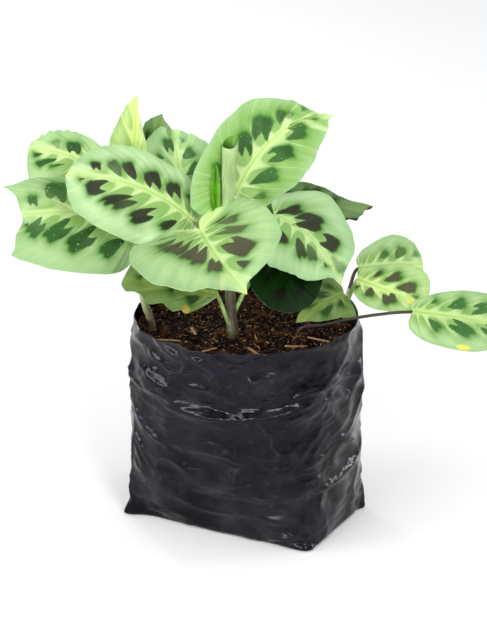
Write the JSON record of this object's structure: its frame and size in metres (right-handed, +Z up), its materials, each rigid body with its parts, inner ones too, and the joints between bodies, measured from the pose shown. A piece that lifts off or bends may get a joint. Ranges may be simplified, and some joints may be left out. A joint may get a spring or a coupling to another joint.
{
  "type": "potted calathea",
  "caption": "Young calathea-type house plant with broad patterned leaves on thin stalks, in a soft black film grow bag filled with dark potting soil; it stands on the bag's flat base.",
  "frame": {"origin": "middle of the bag's flat base, on the surface that it stands on", "axes": "+Z up; X along the base's longer side and the plant's widest spread; -Y is the bag's broad front face"},
  "size_m": [0.3414, 0.2206, 0.311],
  "materials": {
    "black_film": "soft black polythene film, wrinkled, semi-gloss",
    "soil": "dark crumbly peat mix, matte",
    "stem": "fresh green stalk, satin",
    "leaf": "fresh leaf, pale green with dark blotches between the side veins, satin",
    "straw": "dry straw, matte"
  },
  "bodies": {
    "root": {"grow_bag": "black_film", "potting_soil": "soil", "main_stem": "stem", "left_stem": "stem", "right_stem": "stem", "leaf_a_blade": "leaf", "leaf_a_stalk": "stem", "leaf_b_blade": "leaf", "leaf_b_stalk": "stem", "leaf_c_blade": "leaf", "leaf_c_stalk": "stem", "leaf_d_blade": "leaf", "leaf_d_stalk": "stem", "leaf_e_blade": "leaf", "leaf_e_stalk": "stem", "leaf_f_blade": "leaf", "leaf_f_stalk": "stem", "leaf_h_blade": "leaf", "leaf_h_stalk": "stem", "leaf_i_blade": "leaf", "leaf_i_stalk": "stem", "leaf_j_blade": "leaf", "leaf_j_stalk": "stem", "leaf_k_blade": "leaf", "leaf_k_stalk": "stem", "leaf_l_blade": "leaf", "leaf_l_stalk": "stem", "leaf_m_blade": "leaf", "leaf_m_stalk": "stem", "leaf_n_blade": "leaf", "leaf_n_stalk": "stem", "leaf_o_blade": "leaf", "leaf_o_stalk": "stem", "leaf_p_blade": "leaf", "leaf_p_stalk": "stem", "leaf_q_blade": "leaf", "leaf_q_stalk": "stem", "young_leaf_blade": "leaf", "rolled_new_leaf": "leaf", "straw_1": "straw", "straw_2": "straw", "straw_3": "straw", "straw_4": "straw", "straw_5": "straw", "straw_6": "straw"}
  },
  "joints": []
}
